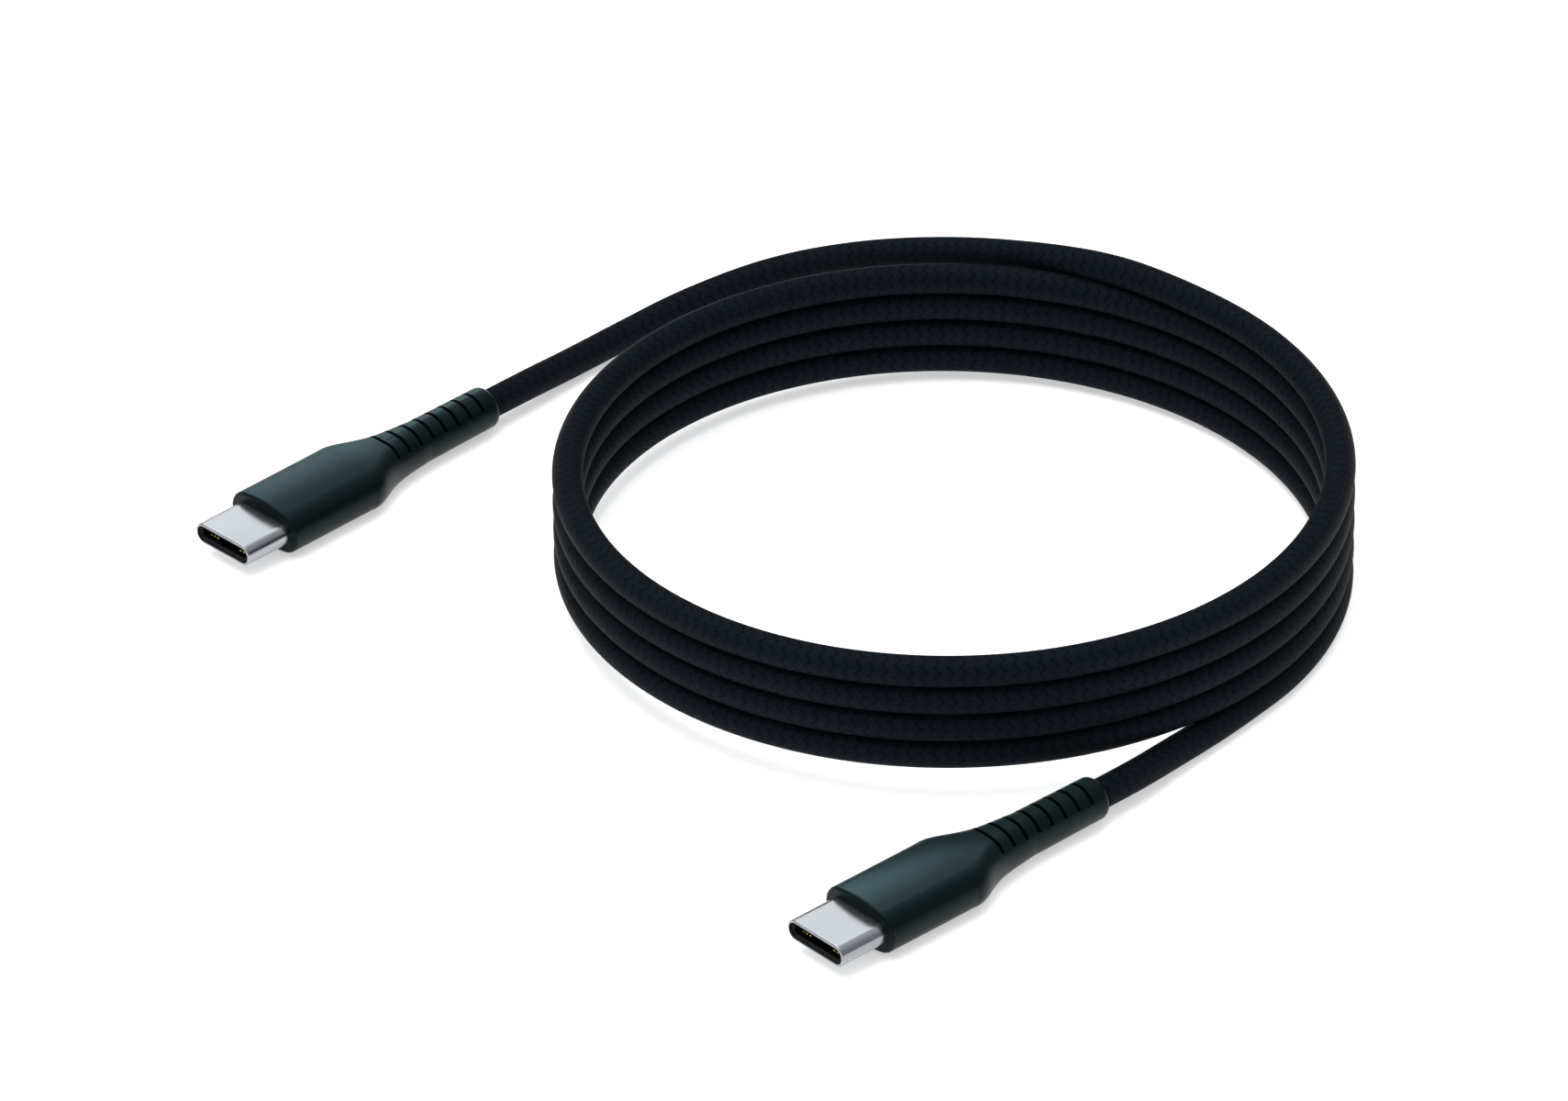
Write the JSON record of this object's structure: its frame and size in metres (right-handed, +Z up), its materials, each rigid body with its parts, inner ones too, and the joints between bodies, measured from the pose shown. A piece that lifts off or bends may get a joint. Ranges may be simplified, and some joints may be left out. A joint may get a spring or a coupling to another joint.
{
  "type": "charging cable",
  "caption": "Braided charging cable with a reversible USB-C plug at each end, wound in a neat round coil and lying flat.",
  "frame": {"origin": "on the table, at the centre of the base of the box round the two plugs, midway between them", "axes": "+Z up from the table; seen from above, plug A lies towards -X and +Y and plug B towards +X and -Y of the origin, with the coil between and to the right of them"},
  "size_m": [0.1221, 0.1283, 0.0164],
  "materials": {
    "overmould": "satin",
    "inner_mould": "matte",
    "shell_steel": "satin",
    "insulator": "matte",
    "contact_gold": "polished",
    "spring_steel": "satin",
    "circuit_board": "satin",
    "component_ceramic": "satin",
    "chip_package": "matte",
    "solder": "polished",
    "tinplate": "satin",
    "crimp_aluminium": "satin",
    "nylon_braid": "woven",
    "inner_jacket": "matte",
    "shield_wire": "braided",
    "strength_yarn": "fibrous",
    "red_insulation": "satin",
    "black_insulation": "satin",
    "blue_insulation": "satin",
    "white_insulation": "satin"
  },
  "bodies": {
    "root": {"overmould_a": "overmould", "inner_mould_a": "inner_mould", "shell_a": "shell_steel", "front_insulator_a": "insulator", "rear_insulator_a": "insulator", "upper_contacts_a": "contact_gold", "lower_contacts_a": "contact_gold", "latch_plate_a": "spring_steel", "upper_ground_spring_a": "spring_steel", "lower_ground_spring_a": "spring_steel", "paddle_card_a": "circuit_board", "card_components_a": "component_ceramic", "solder_joints_a": "solder", "upper_shield_cover_a": "tinplate", "lower_shield_cover_a": "tinplate", "crimp_ferrule_a": "crimp_aluminium", "sleeve_end_a": "nylon_braid", "jacket_end_a": "inner_jacket", "shield_braid_end_a": "shield_wire", "filler_a": "strength_yarn", "vbus_wire_a": "red_insulation", "ground_wire_a": "black_insulation", "cc_wire_a": "blue_insulation", "data_wires_a": "white_insulation", "emarker_chip_a": "chip_package", "overmould_b": "overmould", "inner_mould_b": "inner_mould", "shell_b": "shell_steel", "front_insulator_b": "insulator", "rear_insulator_b": "insulator", "upper_contacts_b": "contact_gold", "lower_contacts_b": "contact_gold", "latch_plate_b": "spring_steel", "upper_ground_spring_b": "spring_steel", "lower_ground_spring_b": "spring_steel", "paddle_card_b": "circuit_board", "card_components_b": "component_ceramic", "solder_joints_b": "solder", "upper_shield_cover_b": "tinplate", "lower_shield_cover_b": "tinplate", "crimp_ferrule_b": "crimp_aluminium", "sleeve_end_b": "nylon_braid", "jacket_end_b": "inner_jacket", "shield_braid_end_b": "shield_wire", "filler_b": "strength_yarn", "vbus_wire_b": "red_insulation", "ground_wire_b": "black_insulation", "cc_wire_b": "blue_insulation", "data_wires_b": "white_insulation", "cord_lead_a": "nylon_braid", "cord_lead_b": "nylon_braid", "cord_coil": "nylon_braid"}
  },
  "joints": []
}
